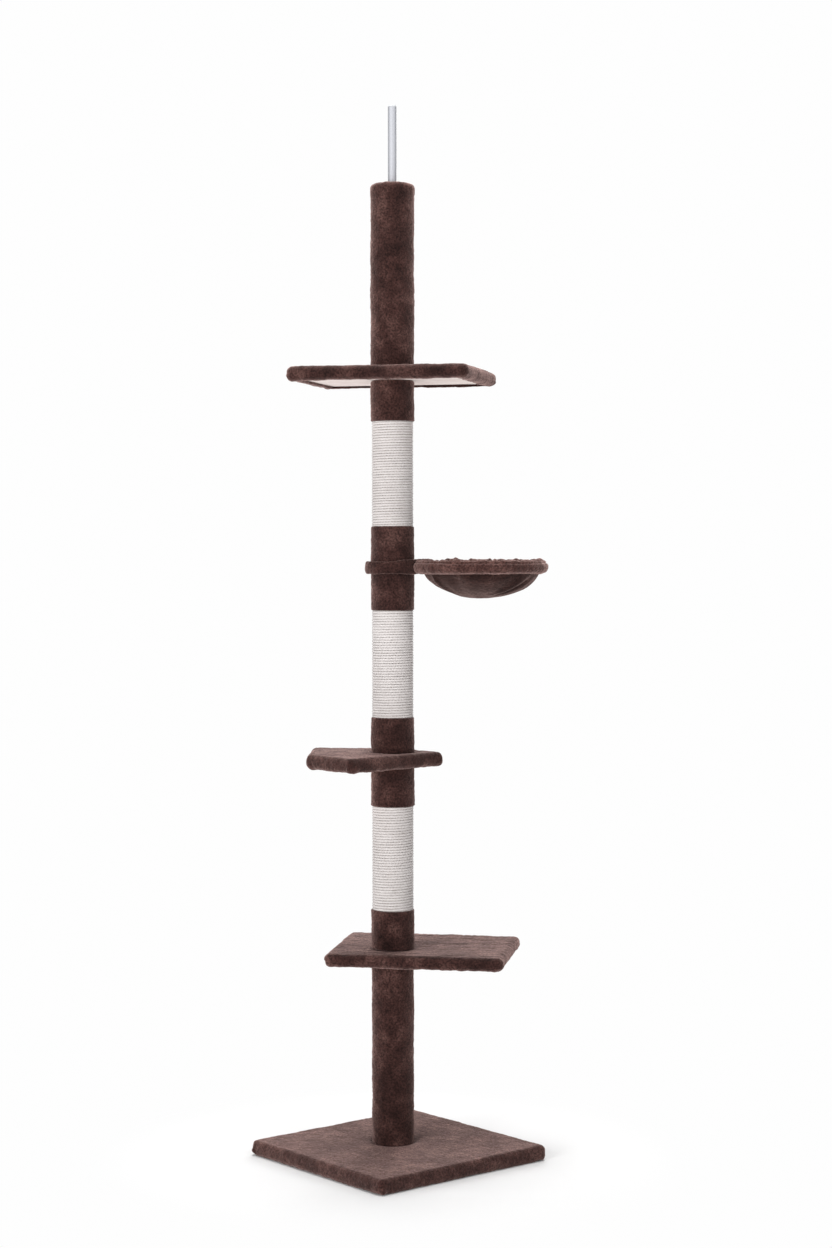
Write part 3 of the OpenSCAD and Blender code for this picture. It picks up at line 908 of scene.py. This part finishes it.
def bowl(node, seed):
    """Cloth bowl sewn under the rim: steep on the far side, slack on the post's side, with soft folds."""
    outer, normals = bowl_outside(seed)
    inner = outer - normals * BOWL_CLOTH_T
    inner = inner.reshape(BOWL_RINGS, BOWL_COLUMNS, 3)[::-1].reshape(-1, 3)
    points = np.concatenate([outer, inner])
    quads = grid_faces(2 * BOWL_RINGS, BOWL_COLUMNS, False)
    points = fluffed(points, quads, seed + 1, 0.6, 0.0)
    faces = tube_faces(2 * BOWL_RINGS, BOWL_COLUMNS)
    piece = stand_in(node, "_cloth", points, faces, "hammock", bowl_plush_painted_shade)
    return piece


# ---------------------------------------------------------------- stage, light and camera

BACKGROUND = 0.99
WORLD_LIGHT = 0.36
FLOOR_ALBEDO = 0.80
FADE_START, FADE_END = 0.30, 0.64

CAMERA_DISTANCE = 5.2006
CAMERA_HEIGHT = 1.3154
CAMERA_PITCH = 0.0336
CAMERA_ROLL = -0.0010
SENSOR_MM = 36
LENS_MM = 70.42
SHIFT_X = 0.0187


def make_camera():
    """Camera in front of the tree, level but for a slight pitch and roll."""
    data = bpy.data.cameras.new("camera")
    data.sensor_width = SENSOR_MM
    data.lens = LENS_MM
    data.shift_x = SHIFT_X
    camera = bpy.data.objects.new("camera", data)
    bpy.context.scene.collection.objects.link(camera)
    camera.matrix_world = (
        Matrix.Translation((0, -CAMERA_DISTANCE, CAMERA_HEIGHT))
        @ Matrix.Rotation(math.pi / 2 - CAMERA_PITCH, 4, "X")
        @ Matrix.Rotation(CAMERA_ROLL, 4, "Z")
    )
    bpy.context.scene.camera = camera


def make_floor():
    """Pale floor that fades to the background's white away from the base."""
    bpy.ops.mesh.primitive_circle_add(vertices=96, radius=30, fill_type="NGON", location=(0, 0, -0.0004))
    floor = bpy.context.object
    floor.name = "floor"
    n = Nodes("floor")
    away = n.add("VectorMath", operation="LENGTH")
    n.feed(away.inputs[0], n.place)
    fade = n.add("MapRange", interpolation_type="SMOOTHSTEP", Value=away.outputs["Value"])
    n.feed(fade.inputs["From Min"], FADE_START)
    n.feed(fade.inputs["From Max"], FADE_END)
    paint = n.add("BsdfDiffuse", Color=(FLOOR_ALBEDO, FLOOR_ALBEDO, FLOOR_ALBEDO, 1))
    white = n.add("Emission", Color=(1, 1, 1, 1), Strength=BACKGROUND)
    mixed = n.add("MixShader", Fac=fade.outputs[0])
    n.feed(mixed.inputs[1], paint.outputs[0])
    n.feed(mixed.inputs[2], white.outputs[0])
    n.feed(n.tree.nodes["Material Output"].inputs["Surface"], mixed.outputs[0])
    floor.data.materials.append(n.material)


def make_world():
    """White to the camera, and a dimmer even light on everything else."""
    world = bpy.data.worlds.new("studio")
    bpy.context.scene.world = world
    world.use_nodes = True
    tree = world.node_tree
    seen = tree.nodes["Background"]
    seen.inputs["Color"].default_value = (1, 1, 1, 1)
    seen.inputs["Strength"].default_value = BACKGROUND
    light = tree.nodes.new("ShaderNodeBackground")
    light.inputs["Color"].default_value = (1, 1, 1, 1)
    light.inputs["Strength"].default_value = WORLD_LIGHT
    path = tree.nodes.new("ShaderNodeLightPath")
    mix = tree.nodes.new("ShaderNodeMixShader")
    tree.links.new(path.outputs["Is Camera Ray"], mix.inputs[0])
    tree.links.new(light.outputs[0], mix.inputs[1])
    tree.links.new(seen.outputs[0], mix.inputs[2])
    tree.links.new(mix.outputs[0], tree.nodes["World Output"].inputs["Surface"])


def area_light(name, place, target, size, power):
    """A rectangular light that faces the target."""
    data = bpy.data.lights.new(name, "AREA")
    data.shape = "RECTANGLE"
    data.size, data.size_y = size
    data.energy = power
    light = bpy.data.objects.new(name, data)
    bpy.context.scene.collection.objects.link(light)
    light.location = place
    light.rotation_mode = "QUATERNION"
    light.rotation_quaternion = (Vector(target) - Vector(place)).to_track_quat("-Z", "Y")


def make_lights():
    """A key from the front left, a weak fill from the right, and light from above and behind."""
    area_light("key", (-2.5, -4.0, 1.3), (0, 0, 1.0), (1.8, 2.6), 136)
    area_light("fill", (2.8, -2.6, 3.2), (0, 0, 2.0), (1.4, 1.6), 20)
    area_light("top", (0.0, 0.2, 4.6), (0, 0, 0.5), (2.6, 2.6), 160)
    area_light("back", (0.6, 3.8, 2.4), (0, 0, 1.2), (2.6, 2.2), 95)
    bpy.context.scene.view_settings.view_transform = "Standard"


# ---------------------------------------------------------------- the cat tree

make_camera()
make_world()
make_floor()
make_lights()
finish_cad_nodes()

plush_sleeve("post_1_cover", 11, ON_TOP, AT_SHELF, -0.0012)
for number in (2, 3, 4):
    plush_sleeve(f"post_{number}_lower_collar", 20 + number, ON_TOP, AT_SISAL)
    plush_sleeve(f"post_{number}_upper_collar", 30 + number, AT_SISAL, AT_SHELF)
    sisal_winding(f"post_{number}_sisal", 40 + number)
top_sleeve("post_5_cover", 51)
coil_spring("tension_spring")

plush_board("base_cover", "tower", 61, BASE_HEM_T, 0.0, 0.0010, base_plush)
plush_board("lower_shelf_cover", "lower_shelf", 71, SHELF_HEM_T, 0.0034, 0.0, ribbed_plush)
plush_board("middle_shelf_cover", "middle_shelf", 72, SHELF_HEM_T, 0.0014, 0.0018, ribbed_plush)
plush_board("upper_shelf_cover", "upper_shelf", 73, SHELF_HEM_T, 0.0036, 0.0014, ribbed_plush)

ring_sleeve("hammock_ring_sleeve", 81)
rim_sleeve("hammock_rim_sleeve", 82)
bowl("hammock_bowl", 83)
